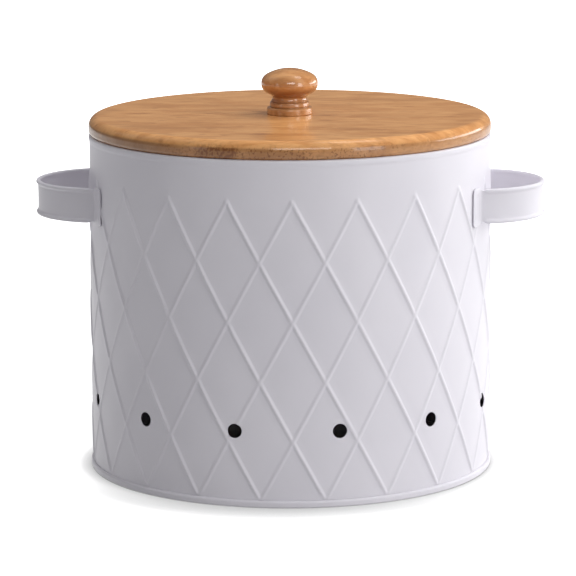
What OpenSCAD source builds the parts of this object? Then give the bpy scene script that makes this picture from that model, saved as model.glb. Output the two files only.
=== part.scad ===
// Round kitchen storage bin for potatoes: embossed steel wall with vent holes, seamed base,
// two strap handles and a lift-off bamboo lid with a turned knob.
// Millimetres. Z is up, the handles are on the X axis, the front of the bin faces -Y.

/* [Show] */
// Which piece to draw

/* [Wall] */
// Outside diameter of the straight wall
body_d = 240; // [180:1:320]
// Height of the top of the rim, where the lid rests
body_h = 201.6; // [150:0.1:300]
// Thickness of the wall sheet
sheet_t = 0.6; // [0.5:0.05:1]
// Outside diameter of the inward curl on the top edge
curl_d = 2.8; // [2.6:0.1:4]
// How far the curl stands proud of the wall
curl_proud = 0.05; // [0.02:0.01:0.3]
// Width of the gap where the curl ends
curl_gap = 0.5; // [0.3:0.1:0.8]
// Width of the overlap of the vertical seam, inside at the back
lap_w = 6; // [4:0.5:12]
// Thickness of that overlap
lap_t = 0.5; // [0.3:0.05:1]

/* [Diamond lattice] */
// Number of ridges in each direction
lattice_cols = 20; // [12:1:28]
// Number of half diamonds from top to bottom
lattice_rows = 5; // [3:1:7]
// Distance from the rim down to the top points of the lattice
lattice_drop = 24.35; // [15:0.05:50]
// Width of a ridge
ridge_w = 3.4; // [2:0.1:5]
// Height of the ridges that lean one way
ridge_h = 0.9; // [0.4:0.05:1.6]
// How much lower the ridges are that lean the other way
ridge_step = 0.15; // [0.05:0.05:0.3]
// Turn of the lattice about the middle of the front, in degrees
lattice_turn = 2.8; // [-9:0.1:9]

/* [Vent holes] */
// Number of vent holes in the ring
vent_count = 12; // [4:1:12]
// Diameter of a vent hole
vent_d = 8.4; // [4:0.1:14]
// Angle from one vent hole to the next, in degrees
vent_pitch = 29.2; // [20:0.1:30]
// Height of the ring of vent holes
vent_z = 44.5; // [25:0.5:100]
// Turn of the ring about the middle of the front, in degrees
vent_turn = 1.2; // [-10:0.1:10]

/* [Base] */
// Height of the rolled seam round the base
seam_h = 4.3; // [3:0.1:8]
// How far the seam stands out from the wall
seam_out = 1.4; // [1.2:0.1:4]
// How far the seam reaches in from the wall
seam_in = 1.4; // [1.2:0.1:4]
// Rounding of the seam's edges
seam_round = 0.8; // [0.3:0.05:1]
// Height of the seam groove's floor, on which the wall stands
seat_z = 1; // [0.8:0.1:2]
// Clearance of the wall in the seam groove, on each side
seat_clear = 0.05; // [0.02:0.01:0.3]
// Thickness of the base panel
panel_t = 0.6; // [0.4:0.05:1.5]
// Height of the panel's underside above the table
panel_rise = 2.8; // [1:0.1:3]

/* [Handles] */
// How far a handle reaches out from the wall
handle_reach = 32.8; // [25:0.1:50]
// Outside radius of the handle's loop
handle_loop_r = 42.8; // [36:0.1:60]
// Distance from the rim down to the middle of the handles
handle_drop = 38.8; // [25:0.1:100]
// Height of the strap
strap_h = 20.8; // [14:0.1:32]
// Thickness of the strap
strap_t = 1.2; // [0.8:0.1:2.4]
// Diameter of the rolled edges of the strap
bead_d = 2.6; // [2.2:0.1:4]
// How far the rolled edges stand out past the strap's outer face
bead_proud = 1.2; // [0.6:0.1:1.3]
// Angle before the bend at which the rolled edges end, in degrees
bead_stop = 4; // [1:0.5:12]
// Inside radius of the bend between strap and tab
bend_r = 1.6; // [1:0.1:4]
// Height of the welded end tabs
tab_h = 22; // [14:0.1:34]
// Length of a tab along the wall, from the middle of the strap's foot
tab_len = 11; // [8:0.5:20]
// Rounding of the tab's corners
tab_round = 3; // [1:0.5:6]
// Margin without ridges round each tab, where the wall is left plain for the weld
pad_margin = 0.6; // [0.3:0.1:3]

/* [Lid] */
// How far the lid's edge stands out past the wall
lid_over = 0.5; // [0:0.1:6]
// Thickness of the lid board
lid_t = 10.6; // [8:0.1:25]
// Rounding of the board's top edge
lid_round = 6; // [1:0.1:7]
// Rounding of the board's lower edge
lid_low_round = 1.8; // [0.3:0.1:2]
// Thickness of the locating disc under the board
plug_t = 6; // [5:0.5:15]
// Clearance of the locating disc inside the rim curl
plug_clear = 1.2; // [0.5:0.1:4]
// Rounding of the locating disc's lower edge
plug_round = 1.5; // [0.5:0.1:3]

/* [Knob] */
// Diameter of the knob's foot
foot_d = 27.3; // [20:0.1:50]
// Height of the knob's foot
foot_h = 4.2; // [3:0.1:8]
// Rounding of the foot's edges
foot_round = 1.1; // [0.4:0.1:1.4]
// Diameter of the bead above the foot
ring_d = 24.2; // [20:0.1:46]
// Height of that bead
ring_h = 2.9; // [2:0.1:5]
// Rounding of the bead
ring_round = 1.2; // [0.4:0.1:1.4]
// Height of the groove below and above the bead
groove_h = 0.3; // [0.2:0.05:0.6]
// Depth of those grooves
groove_in = 0.9; // [0.3:0.1:1.5]
// Diameter of the neck at its narrowest
neck_d = 20.6; // [16:0.1:40]
// Height of the neck
neck_h = 2.5; // [1:0.1:6]
// How much wider the neck is at its ends, on each side
neck_flare = 0.5; // [0.1:0.1:2]
// Diameter of the knob's head
head_d = 34.1; // [30:0.1:60]
// Height of the head
head_h = 17.3; // [16:0.1:30]
// Height of the head's widest part above the neck
head_rise = 8.1; // [7:0.1:9]
// Rounding of the head's rim
head_round = 6.5; // [4:0.1:7]

/* [Screw] */
// Diameter of the screw's shank
shank_d = 4; // [3:0.5:6]
// Clearance of the shank in its holes, on each side
shank_clear = 0.1; // [0.05:0.05:0.5]
// Depth to which the screw goes into the knob
grip_len = 14; // [8:1:24]
// Diameter of the screw's head
screw_head_d = 8; // [7:0.1:12]
// Height of the screw's head
screw_head_h = 2.4; // [1.6:0.1:4]
// Width of the slots of the cross in the screw's head
cross_w = 1; // [0.6:0.1:1.6]
// Length of those slots
cross_len = 4.6; // [3:0.1:6]
// Depth of those slots
cross_in = 1.4; // [0.8:0.1:2]
// Diameter of the washer
washer_d = 12; // [9:0.5:18]
// Thickness of the washer
washer_t = 1; // [0.5:0.1:1.5]
// Clearance round the washer in the pocket of the locating disc
pocket_clear = 1; // [0.3:0.1:3]
// How far the screw's head lies inside the pocket's mouth
head_sink = 0.2; // [0.1:0.1:1]

/* [Hidden] */
$fn = 96;
eps = sheet_t / 12;
body_r = body_d / 2;
wall_in_r = body_r - sheet_t;
curl_r = curl_d / 2;
curl_x = body_r + curl_proud - curl_r;
curl_z = body_h - curl_r;
curl_in_r = curl_x - curl_r;
// The lattice: a ridge is cut by a flat slab, which follows it best when a little flatter than its chord
slab_ease = 1.006;
ridge_root = sheet_t / 3;
lattice_top = body_h - lattice_drop;
lattice_low = seam_h - 0.6;
lattice_half = lattice_rows * 90 / lattice_cols;
lattice_mid = (lattice_top + lattice_low) / 2;
lattice_rise = (lattice_top - lattice_low) / 2 / sin(lattice_half) / slab_ease;
lattice_lean = atan(body_r / lattice_rise);
lattice_len = (lattice_top - lattice_low) / cos(lattice_lean) + 2 * ridge_w;
slab_lead = 4 * ridge_h;
lattice_deep = body_r * (1 - cos(lattice_half)) + 2 * slab_lead;
apex_over = ridge_w / 3;
// The vents
vent_reach = 10 * sheet_t;
// The base
seam_x0 = wall_in_r - seam_in;
seam_x1 = body_r + seam_out;
// The handles
handle_z = body_h - handle_drop;
loop_x = body_r + handle_reach - handle_loop_r;
bead_r = bead_d / 2;
face_r = handle_loop_r - bead_proud;
band_h = strap_h - bead_d;
bend_far = body_r + strap_t + bend_r;
bend_loop = face_r + bend_r;
bend_x = (loop_x * loop_x + bend_far * bend_far - bend_loop * bend_loop) / 2 / loop_x;
bend_y = sqrt(bend_far * bend_far - bend_x * bend_x);
bend_loop_a = atan2(bend_y, bend_x - loop_x);
bend_wall_a = atan2(bend_y, bend_x);
// The foot is where the middle of the strap meets the wall
foot_mid = face_r - strap_t / 2;
foot_x = (loop_x * loop_x + body_r * body_r - foot_mid * foot_mid) / 2 / loop_x;
foot_y = sqrt(body_r * body_r - foot_x * foot_x);
foot_a = atan2(foot_y, foot_x);
core_r = bend_r + strap_t / 2;
// The lid
lid_r = body_r + lid_over;
lid_top = body_h + lid_t;
// A short straight edge always stays between the board's two roundings
lid_edge_r = min(lid_round, lid_t - lid_low_round - 0.4);
plug_r = curl_in_r - plug_clear;
plug_z = body_h - plug_t;
pocket_in = washer_t + screw_head_h + head_sink;
pocket_r = washer_d / 2 + pocket_clear;
washer_z = plug_z + pocket_in - washer_t;
hole_r = shank_d / 2 + shank_clear;
tip_h = shank_d * 0.75;
grip_top = lid_top + grip_len;
// The knob
ring_z = lid_top + foot_h + groove_h;
neck_z = ring_z + ring_h + groove_h;
head_z = neck_z + neck_h;
knob_top = head_z + head_h;
neck_r = neck_d / 2;
neck_cut = (neck_h * neck_h / 4 + neck_flare * neck_flare) / 2 / neck_flare;
rim_x = head_d / 2 - head_round;
rim_z = head_z + head_rise;
crown_in = knob_top - rim_z;
crown_r = (rim_x * rim_x + crown_in * crown_in - head_round * head_round) / 2 / (crown_in - head_round);
crown_z = knob_top - crown_r;

steel = [0.90, 0.90, 0.91];
bamboo = [0.80, 0.56, 0.30];
zinc = [0.72, 0.73, 0.75];

// An outline with four rounded corners.
module rounded(x0, x1, z0, z1, r) {
    translate([x0 + r, z0]) square([x1 - x0 - 2 * r, z1 - z0]);
    translate([x0, z0 + r]) square([x1 - x0, z1 - z0 - 2 * r]);
    for (x = [x0 + r, x1 - r])
        for (z = [z0 + r, z1 - r])
            translate([x, z]) circle(r);
}

// The half of a rounded outline that lies right of the axis, ready to be turned.
module turned_band(r, z0, z1, round) {
    intersection() {
        rounded(-r, r, z0, z1, round);
        translate([0, z0 - r]) square([2 * r, z1 - z0 + 2 * r]);
    }
}

// A ring between two radii and two heights.
module ring(r0, r1, z0, z1) {
    rotate_extrude() translate([r0, z0]) square([r1 - r0, z1 - z0]);
}

// One leaning slab for each ridge of a family. Its side is 1 or -1.
module slabs(side) {
    for (i = [0 : lattice_cols - 1])
        rotate([0, 0, lattice_turn + i * 360 / lattice_cols + side * lattice_half])
            translate([0, -body_r, lattice_mid])
                rotate([0, -side * lattice_lean, 0])
                    translate([-ridge_w / 2, -slab_lead, -lattice_len / 2])
                        cube([ridge_w, lattice_deep, lattice_len]);
}

// The ridges of one family: the slabs cut to a thin layer on the wall.
module ridges(side, height) {
    intersection() {
        ring(body_r - ridge_root, body_r + height, seam_h + seat_clear, lattice_top + apex_over);
        slabs(side);
    }
}

// The sheet in section: a straight wall with a curl turned inward at the top.
module wall_profile() {
    translate([wall_in_r, seat_z]) square([sheet_t, curl_z - seat_z]);
    difference() {
        translate([curl_x, curl_z]) circle(curl_r);
        translate([curl_x, curl_z]) circle(curl_r - sheet_t);
        translate([curl_x - curl_r - eps, curl_z - curl_r - eps]) square([curl_r, curl_gap + eps]);
    }
}

module vents() {
    for (i = [0 : vent_count - 1])
        rotate([0, 0, vent_turn + (i - (vent_count - 1) / 2) * vent_pitch])
            translate([0, vent_reach - body_r, vent_z])
                rotate([90, 0, 0]) cylinder(h = vent_reach * 2, d = vent_d);
}

// The lapped seam, inside at the back.
module lap() {
    intersection() {
        ring(wall_in_r - lap_t, wall_in_r + ridge_root, seam_h + seat_clear, curl_z - curl_r - eps);
        translate([-lap_w / 2, 0, 0]) cube([lap_w, body_d, body_h]);
    }
}

// Plain patches without ridges, where the tabs are welded on.
module pads() {
    for (turn = [0, 180])
        for (side = [1, -1])
            rotate([0, 0, turn]) mirror([0, side > 0 ? 0 : 1, 0]) rotate([0, 0, foot_a])
                translate([body_r - tab_len, -strap_t - pad_margin, handle_z - tab_h / 2 - pad_margin])
                    cube([2 * tab_len, strap_t + tab_len + 2 * pad_margin, tab_h + 2 * pad_margin]);
}

module body_shell() {
    color(steel)
    difference() {
        union() {
            rotate_extrude() wall_profile();
            lap();
            difference() {
                union() {
                    ridges(1, ridge_h);
                    ridges(-1, ridge_h - ridge_step);
                }
                pads();
            }
        }
        vents();
    }
}

// The base: a recessed panel with a rolled seam that holds the foot of the wall in a groove.
module base_pan() {
    color(steel)
    rotate_extrude() {
        difference() {
            rounded(seam_x0, seam_x1, 0, seam_h, seam_round);
            translate([wall_in_r - seat_clear, seat_z]) square([sheet_t + 2 * seat_clear, seam_h]);
        }
        translate([0, panel_rise]) square([seam_x0 + seam_round, panel_t]);
    }
}

// The rounded inner corner between the strap and a tab, in plan.
module corner() {
    difference() {
        polygon([[foot_x + strap_t / 2, foot_y],
            [bend_x - core_r * cos(bend_loop_a), bend_y - core_r * sin(bend_loop_a)],
            [bend_x, bend_y],
            [bend_x - core_r * cos(bend_wall_a), bend_y - core_r * sin(bend_wall_a)]]);
        translate([bend_x, bend_y]) circle(bend_r * 1.01);
    }
}

// The strap in plan: a loop that starts and ends on the wall.
module strap_plan() {
    difference() {
        translate([loop_x, 0]) circle(face_r);
        translate([loop_x, 0]) circle(face_r - strap_t);
        circle(body_r);
    }
    corner();
    mirror([0, 1]) corner();
}

// A tab welded flat on the wall.
module tab() {
    intersection() {
        ring(body_r, body_r + strap_t, handle_z - tab_h, handle_z + tab_h);
        rotate([0, 0, foot_a]) translate([body_r - tab_len / 2, 0, handle_z])
            rotate([90, 0, 90]) linear_extrude(tab_len) {
                translate([0, -tab_h / 2]) square([tab_len - tab_round, tab_h]);
                translate([0, tab_round - tab_h / 2]) square([tab_len, tab_h - 2 * tab_round]);
                for (side = [1, -1])
                    translate([tab_len - tab_round, side * (tab_h / 2 - tab_round)]) circle(tab_round);
            }
    }
}

// One strip of steel: the strap, the rolled edges along it and a tab on each side.
module handle() {
    color(steel) {
        translate([0, 0, handle_z - band_h / 2]) linear_extrude(band_h) strap_plan();
        translate([loop_x, 0, handle_z])
            for (z = [-band_h / 2, band_h / 2]) {
                rotate([0, 0, bead_stop - bend_loop_a]) rotate_extrude(angle = 2 * (bend_loop_a - bead_stop))
                    translate([handle_loop_r - bead_r, z]) circle(bead_r);
                for (side = [1, -1])
                    rotate([0, 0, side * (bend_loop_a - bead_stop)])
                        translate([handle_loop_r - bead_r, 0, z]) sphere(bead_r * 1.03);
            }
        tab();
        mirror([0, 1, 0]) tab();
    }
}

module handle_right() {
    handle();
}

module handle_left() {
    rotate([0, 0, 180]) handle();
}

module lid_board() {
    color(bamboo)
    rotate_extrude() {
        translate([hole_r, body_h]) square([lid_r - lid_edge_r - hole_r, lid_t]);
        translate([hole_r, body_h]) square([lid_r - lid_low_round - hole_r, lid_t - lid_edge_r]);
        translate([hole_r, body_h + lid_low_round])
            square([lid_r - hole_r, lid_t - lid_edge_r - lid_low_round]);
        // A wide top rounding is cut off where it would pass below the board
        intersection() {
            translate([lid_r - lid_edge_r, lid_top - lid_edge_r]) circle(lid_edge_r);
            translate([lid_r - 2 * lid_edge_r, body_h + lid_low_round]) square([3 * lid_edge_r, lid_t]);
        }
        translate([lid_r - lid_low_round, body_h + lid_low_round]) circle(lid_low_round);
    }
}

// The disc that keeps the lid centred in the rim, with a pocket for the screw's head.
module lid_plug() {
    color(bamboo)
    difference() {
        rotate_extrude() {
            translate([hole_r, plug_z]) square([plug_r - plug_round - hole_r, plug_t]);
            translate([hole_r, plug_z + plug_round]) square([plug_r - hole_r, plug_t - plug_round]);
            translate([plug_r - plug_round, plug_z + plug_round]) circle(plug_round);
        }
        translate([0, 0, plug_z - plug_t]) cylinder(h = pocket_in + plug_t, r = pocket_r);
    }
}

module knob_profile() {
    turned_band(foot_d / 2, lid_top, lid_top + foot_h, foot_round);
    translate([0, lid_top + foot_h / 2]) square([ring_d / 2 - groove_in, neck_z - lid_top - foot_h / 2]);
    turned_band(ring_d / 2, ring_z, ring_z + ring_h, ring_round);
    difference() {
        translate([0, neck_z - eps]) square([neck_r + neck_flare, neck_h + 2 * eps]);
        translate([neck_r + neck_cut, neck_z + neck_h / 2]) circle(neck_cut);
    }
    polygon([[0, head_z], [neck_r + neck_flare, head_z], [rim_x + head_round / 6, rim_z - head_round * 5 / 6],
        [rim_x, rim_z], [0, rim_z]]);
    translate([rim_x, rim_z]) circle(head_round);
    intersection() {
        translate([0, crown_z]) circle(crown_r);
        polygon([[0, crown_z], [rim_x * 2, crown_z + (rim_z - crown_z) * 2], [0, crown_z + crown_r * 2]]);
    }
}

module lid_knob() {
    color(bamboo)
    difference() {
        rotate_extrude() knob_profile();
        translate([0, 0, lid_top - foot_h]) cylinder(h = foot_h + grip_len + shank_d / 4, r = hole_r);
    }
}

module knob_screw() {
    color(zinc)
    difference() {
        union() {
            translate([0, 0, washer_z - eps]) cylinder(h = grip_top - washer_z - tip_h + eps, d = shank_d);
            translate([0, 0, grip_top - tip_h]) cylinder(h = tip_h, r1 = shank_d / 2, r2 = shank_d / 10);
            rotate_extrude()
                turned_band(screw_head_d / 2, washer_z - screw_head_h, washer_z, screw_head_h / 3);
        }
        for (turn = [0, 90])
            rotate([0, 0, turn])
                translate([-cross_len / 2, -cross_w / 2, washer_z - 2 * screw_head_h])
                    cube([cross_len, cross_w, screw_head_h + cross_in]);
    }
}

module knob_washer() {
    color(zinc) ring(hole_r, washer_d / 2, washer_z, washer_z + washer_t);
}

body_shell();
base_pan();
handle_right();
handle_left();
lid_board();
lid_plug();
lid_knob();
knob_screw();
knob_washer();
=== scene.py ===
"""Round potato storage bin: embossed white steel, two strap handles and a bamboo lid with a knob.

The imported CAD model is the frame. Each visible piece is worked out with numpy in millimetres in
that frame, and stands for the CAD node of the same place.
"""

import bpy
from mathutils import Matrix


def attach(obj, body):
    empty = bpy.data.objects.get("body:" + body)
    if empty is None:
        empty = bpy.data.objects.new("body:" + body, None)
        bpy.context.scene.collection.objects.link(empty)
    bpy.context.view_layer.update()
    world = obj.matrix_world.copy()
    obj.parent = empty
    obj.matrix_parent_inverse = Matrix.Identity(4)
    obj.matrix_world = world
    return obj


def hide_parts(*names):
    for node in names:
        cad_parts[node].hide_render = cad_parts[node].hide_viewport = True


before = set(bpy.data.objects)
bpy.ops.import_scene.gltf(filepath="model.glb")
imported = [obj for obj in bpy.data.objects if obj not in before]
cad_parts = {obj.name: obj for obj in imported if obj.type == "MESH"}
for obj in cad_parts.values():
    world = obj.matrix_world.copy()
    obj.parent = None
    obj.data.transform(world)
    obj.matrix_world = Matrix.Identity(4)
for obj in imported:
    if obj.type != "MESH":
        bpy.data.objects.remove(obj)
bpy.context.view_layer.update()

import logging
import math
from dataclasses import dataclass
from enum import Enum
from typing import Iterable, List, Optional, Sequence, Tuple

import bpy
import numpy as np
from mathutils import Matrix, Vector
from mathutils.geometry import delaunay_2d_cdt

LOG = logging.getLogger("storage_bin")
MM = 0.001
Array = np.ndarray
Triple = Tuple[float, float, float]
Colour = Triple
Socket = bpy.types.NodeSocket
Material = bpy.types.Material


class Carrier(Enum):
    """The CAD body that a piece rides on."""

    BIN = "bin"
    LID = "lid"


class Slot(Enum):
    """The record's material slots."""

    STEEL = "coated_steel"
    BAMBOO = "bamboo"
    ZINC = "zinc_steel"


class Side(Enum):
    """Which end of the X axis a handle is on."""

    RIGHT = 1
    LEFT = -1


# Surfaces.


@dataclass
class Surface:
    """Points in millimetres, with the quads and triangles between them."""

    points: Array
    quads: Array
    tris: Array

    def turned_half(self) -> "Surface":
        """The same surface turned half a turn about Z."""
        return Surface(self.points * np.array([-1.0, -1.0, 1.0]), self.quads, self.tris)


def as_faces(rows: Iterable, width: int) -> Array:
    """Face rows as an integer array of that width, empty ones included."""
    return np.asarray(rows, dtype=np.int64).reshape(-1, width)


def eased(value: Array, start: float, span: float) -> Array:
    """A smooth step from 0 to 1 as the value goes from start over the span."""
    t = np.clip((value - start) / span, 0.0, 1.0)
    return t * t * (3 - 2 * t)


def ring_numbers(first: int, rows: int, columns: int) -> Array:
    """Point numbers by row and column from the first on, with the first column again at the end."""
    index = first + np.arange(rows * columns).reshape(rows, columns)
    return np.hstack([index, index[:, :1]])


def strip_quads(first: Array, second: Array) -> Array:
    """Quads between two equal rows of point numbers.

    Args:
        first: point numbers along one row.
        second: point numbers along the next row.

    Returns:
        One quad for each step along the rows, in the order first, first + 1, second + 1, second.
    """
    return np.stack([first[:-1], first[1:], second[1:], second[:-1]], axis=1)


def grid_quads(index: Array) -> Array:
    """Quads of a grid of point numbers, one for each cell.

    Args:
        index: point numbers by row and column. A closed grid repeats its first column or row.

    Returns:
        The quads in the order (i, j), (i, j + 1), (i + 1, j + 1), (i + 1, j).
    """
    quads = np.stack([index[:-1, :-1], index[:-1, 1:], index[1:, 1:], index[1:, :-1]], axis=-1)
    return quads.reshape(-1, 4)


def unit(angle: Array) -> Array:
    """Unit vectors (cos a, sin a) at angles in radians, one more axis than the angles have."""
    return np.stack([np.cos(angle), np.sin(angle)], axis=-1)


def arc(cx: float, cz: float, radius: float, start: float, end: float, steps: int) -> Array:
    """Points on a circular arc: centre plus radius times (cos a, sin a), a evenly from start to end.

    Args:
        cx: first coordinate of the centre.
        cz: second coordinate of the centre.
        radius: radius of the arc.
        start: first angle in degrees.
        end: last angle in degrees.
        steps: number of steps between them.

    Returns:
        The points, one row each.
    """
    return np.array([cx, cz]) + radius * unit(np.radians(np.linspace(start, end, steps + 1)))


def rounded_outline(corners: Sequence[Triple], closed: bool,
                    steps: int = 6) -> Array:
    """An outline whose corners are replaced by arcs that touch both sides.

    At a corner with interior angle w and radius r, the arc starts and ends r / tan(w / 2) from
    the corner, and its centre lies on the bisector at r / sin(w / 2). A point a fifth of r before
    and after each arc keeps the shading of the flat beside it even.

    Args:
        corners: (across, up, radius) of each corner.
        closed: whether the outline returns to its first corner.
        steps: steps of an arc.

    Returns:
        The points of the outline in order.
    """
    xy = np.array([c[:2] for c in corners], dtype=float)
    count = len(corners)
    out = []
    for i, (x, z, radius) in enumerate(corners):
        end = not closed and i in (0, count - 1)
        if end or radius <= 0:
            out.append(np.array([[x, z]]))
            continue
        here = xy[i]
        back = xy[i - 1] - here
        ahead = xy[(i + 1) % count] - here
        back_len, ahead_len = np.linalg.norm(back), np.linalg.norm(ahead)
        back, ahead = back / back_len, ahead / ahead_len
        half = math.acos(float(np.clip(back @ ahead, -1.0, 1.0))) / 2
        reach = radius / math.tan(half)
        centre = here + (back + ahead) / np.linalg.norm(back + ahead) * radius / math.sin(half)
        p0, p1 = here + back * reach, here + ahead * reach
        a0 = math.atan2(*(p0 - centre)[::-1])
        a1 = math.atan2(*(p1 - centre)[::-1])
        turn = (a1 - a0 + math.pi) % (2 * math.pi) - math.pi
        bend = arc(centre[0], centre[1], radius, math.degrees(a0), math.degrees(a0 + turn), steps)
        lead = min(radius * 0.2, 0.3)
        if back_len > reach + 2 * lead:
            bend = np.vstack([[p0 + back * lead], bend])
        if ahead_len > reach + 2 * lead:
            bend = np.vstack([bend, [p1 + ahead * lead]])
        out.append(bend)
    return np.vstack(out)


def turned(profile: Array, steps: int, closed: bool) -> Surface:
    """A profile turned about Z.

    Point (i, j) is (r_i cos a_j, r_i sin a_j, z_i), with a_j evenly round the circle. The profile
    runs upwards on its outer side, which turns the faces outwards. An end on the axis becomes one
    pole with a fan of triangles.

    Args:
        profile: (radius, height) rows.
        steps: steps round the circle.
        closed: whether the profile is a ring that doesn't meet the axis.

    Returns:
        The closed surface.
    """
    a = np.arange(steps) * (2 * np.pi / steps)
    low_pole, high_pole = (not closed and profile[end, 0] < 1e-9 for end in (0, -1))
    rings = profile[int(low_pole):len(profile) - int(high_pole)]
    points = np.stack([rings[:, :1] * np.cos(a), rings[:, :1] * np.sin(a),
                       np.repeat(rings[:, 1:], steps, axis=1)], axis=-1).reshape(-1, 3)
    index = ring_numbers(0, len(rings), steps)
    tris = []
    for end, has_pole in ((0, low_pole), (-1, high_pole)):
        if has_pole:
            fan = np.stack([index[end, :-1], index[end, 1:], np.full(steps, len(points))], axis=1)
            tris.append(fan if end else fan[:, ::-1])
            points = np.vstack([points, [[0.0, 0.0, profile[end, 1]]]])
    if closed:
        index = np.vstack([index, index[:1]])
    return Surface(points, grid_quads(index), as_faces(np.vstack(tris) if tris else [], 3))


def carried(sections: Array) -> Surface:
    """A closed section carried along a path, with a fan over each end.

    Point (i, k) is point k of the section at station i. The sections run anticlockwise when they
    are seen from ahead, against the direction of travel.

    Args:
        sections: points by station and by place round the section, (stations, places, 3).

    Returns:
        The closed surface.
    """
    stations, places = sections.shape[:2]
    points = sections.reshape(-1, 3)
    index = ring_numbers(0, stations, places)
    caps = []
    for row, reverse in ((0, True), (stations - 1, False)):
        centre = len(points)
        points = np.vstack([points, sections[row].mean(axis=0)[None]])
        fan = np.stack([index[row, :-1], index[row, 1:], np.full(places, centre)], axis=1)
        caps.append(fan[:, ::-1] if reverse else fan)
    return Surface(points, grid_quads(index), np.vstack(caps))


def put_in_scene(name: str, data: bpy.types.ID) -> bpy.types.Object:
    """A new object of that name and data in the scene."""
    made = bpy.data.objects.new(name, data)
    bpy.context.scene.collection.objects.link(made)
    return made


def make_piece(name: str, surface: Surface, material: Material, carrier: Carrier,
               stands_for: Sequence[str] = (), sharp: float = 50.0) -> bpy.types.Object:
    """A Blender object from a surface, dressed and riding on its CAD body.

    Args:
        name: name of the piece.
        surface: its shape in millimetres.
        material: its finish.
        carrier: the CAD body that it moves with.
        stands_for: the CAD nodes that it replaces.
        sharp: edges that turn by more than this many degrees stay sharp.

    Returns:
        The new object, at the origin.
    """
    mesh = bpy.data.meshes.new(name)
    mesh.vertices.add(len(surface.points))
    mesh.vertices.foreach_set("co", (surface.points * MM).astype(np.float32).ravel())
    corners = np.concatenate([surface.quads.ravel(), surface.tris.ravel()]).astype(np.int32)
    mesh.loops.add(len(corners))
    mesh.loops.foreach_set("vertex_index", corners)
    quad_count, tri_count = len(surface.quads), len(surface.tris)
    starts = np.concatenate([np.arange(quad_count) * 4, quad_count * 4 + np.arange(tri_count) * 3])
    mesh.polygons.add(quad_count + tri_count)
    mesh.polygons.foreach_set("loop_start", starts.astype(np.int32))
    mesh.update(calc_edges=True)
    mesh.validate()
    mesh.shade_smooth()
    mesh.set_sharp_from_angle(angle=math.radians(sharp))
    mesh.materials.append(material)
    piece = put_in_scene(name, mesh)
    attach(piece, carrier.value)
    if stands_for:
        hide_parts(*stands_for)
    LOG.info("%s: %d points, %d faces, on %s", name, len(mesh.vertices), len(mesh.polygons),
             carrier.value)
    return piece


# Finishes.


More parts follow.
